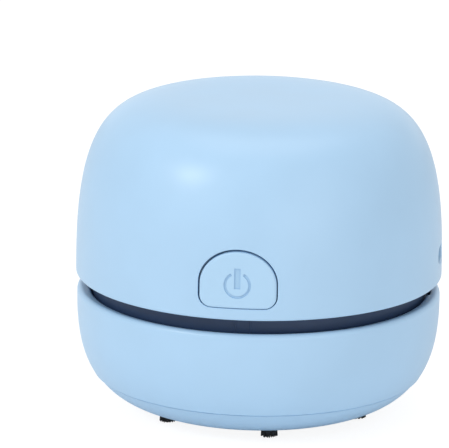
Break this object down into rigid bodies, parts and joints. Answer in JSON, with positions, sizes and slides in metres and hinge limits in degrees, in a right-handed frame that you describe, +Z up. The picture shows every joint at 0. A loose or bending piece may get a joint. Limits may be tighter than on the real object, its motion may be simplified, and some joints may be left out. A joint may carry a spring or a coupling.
{
  "type": "desktop mini vacuum cleaner",
  "caption": "Round battery desk vacuum: domed motor head that twists off a dust bowl, filter cup, fan, push button and bristle tufts it stands on.",
  "frame": {"origin": "on the desk under the middle of the body, where the bristle tips stand", "axes": "+Z up along the body's axis, -Y through the power button, +X through the charging socket"},
  "size_m": [0.084, 0.0842, 0.0724],
  "materials": {
    "shell": "light blue ABS, moulded with a fine satin grain",
    "button": "light blue ABS, a touch smoother than the shell",
    "dark_plastic": "dark navy ABS, smooth",
    "bristle": "black nylon bristle",
    "steel": "zinc plated steel",
    "can": "drawn and plated motor can",
    "nickel": "nickel plate",
    "grey_plastic": "dark grey moulded plastic",
    "white_plastic": "natural white moulded plastic",
    "foam": "open-cell foam",
    "seal": "soft black rubber",
    "cell_sleeve": "heat-shrink sleeve",
    "board": "green solder mask",
    "lead_red": "red wire insulation",
    "lead_black": "black wire insulation"
  },
  "bodies": {
    "bin": {"lower_shell": "shell", "base_plate": "shell", "intake_duct": "dark_plastic", "brush_strip_1": "bristle", "brush_strip_2": "bristle", "brush_strip_3": "bristle", "base_screw_1": "steel", "base_screw_2": "steel", "base_screw_3": "steel"},
    "filter": {"filter_frame": "grey_plastic", "filter_sponge": "foam"},
    "seal": {"seal_ring": "seal"},
    "head": {"upper_shell": "shell", "fan_housing": "dark_plastic", "motor_plate": "dark_plastic", "motor_can": "can", "motor_end_bell": "grey_plastic", "motor_terminal_left": "nickel", "motor_terminal_right": "nickel", "motor_screw_1": "steel", "motor_screw_2": "steel", "case_screw_1": "steel", "case_screw_2": "steel", "case_screw_3": "steel", "battery_cell": "cell_sleeve", "battery_tab_plus": "nickel", "battery_tab_minus": "nickel", "charge_board": "board", "usb_socket": "nickel", "switch_board": "board", "switch_body": "grey_plastic", "motor_lead_red": "lead_red", "motor_lead_black": "lead_black", "battery_lead_red": "lead_red", "battery_lead_black": "lead_black"},
    "button": {"power_button": "button", "switch_plunger": "white_plastic"},
    "fan": {"impeller": "white_plastic", "motor_shaft": "steel"}
  },
  "joints": [
    {"name": "filter_lift", "type": "slide", "parent": "bin", "child": "filter", "axis": [0, 0, 1], "range_m": [0, 0.03]},
    {"name": "head_lift", "type": "slide", "parent": "filter", "child": "seal", "axis": [0, 0, 1], "range_m": [0, 0.04]},
    {"name": "head_twist", "type": "hinge", "parent": "seal", "child": "head", "pos_m": [0, 0, 0.025], "axis": [0, 0, 1], "range_deg": [-25, 0]},
    {"name": "button_press", "type": "slide", "parent": "head", "child": "button", "axis": [0, 1, 0], "range_m": [0, 0.0012], "stiffness_N_per_m": 900, "springref_m": -0.0005},
    {"name": "fan_spin", "type": "hinge", "parent": "head", "child": "fan", "pos_m": [0, 0, 0.03], "axis": [0, 0, 1], "continuous": true}
  ]
}
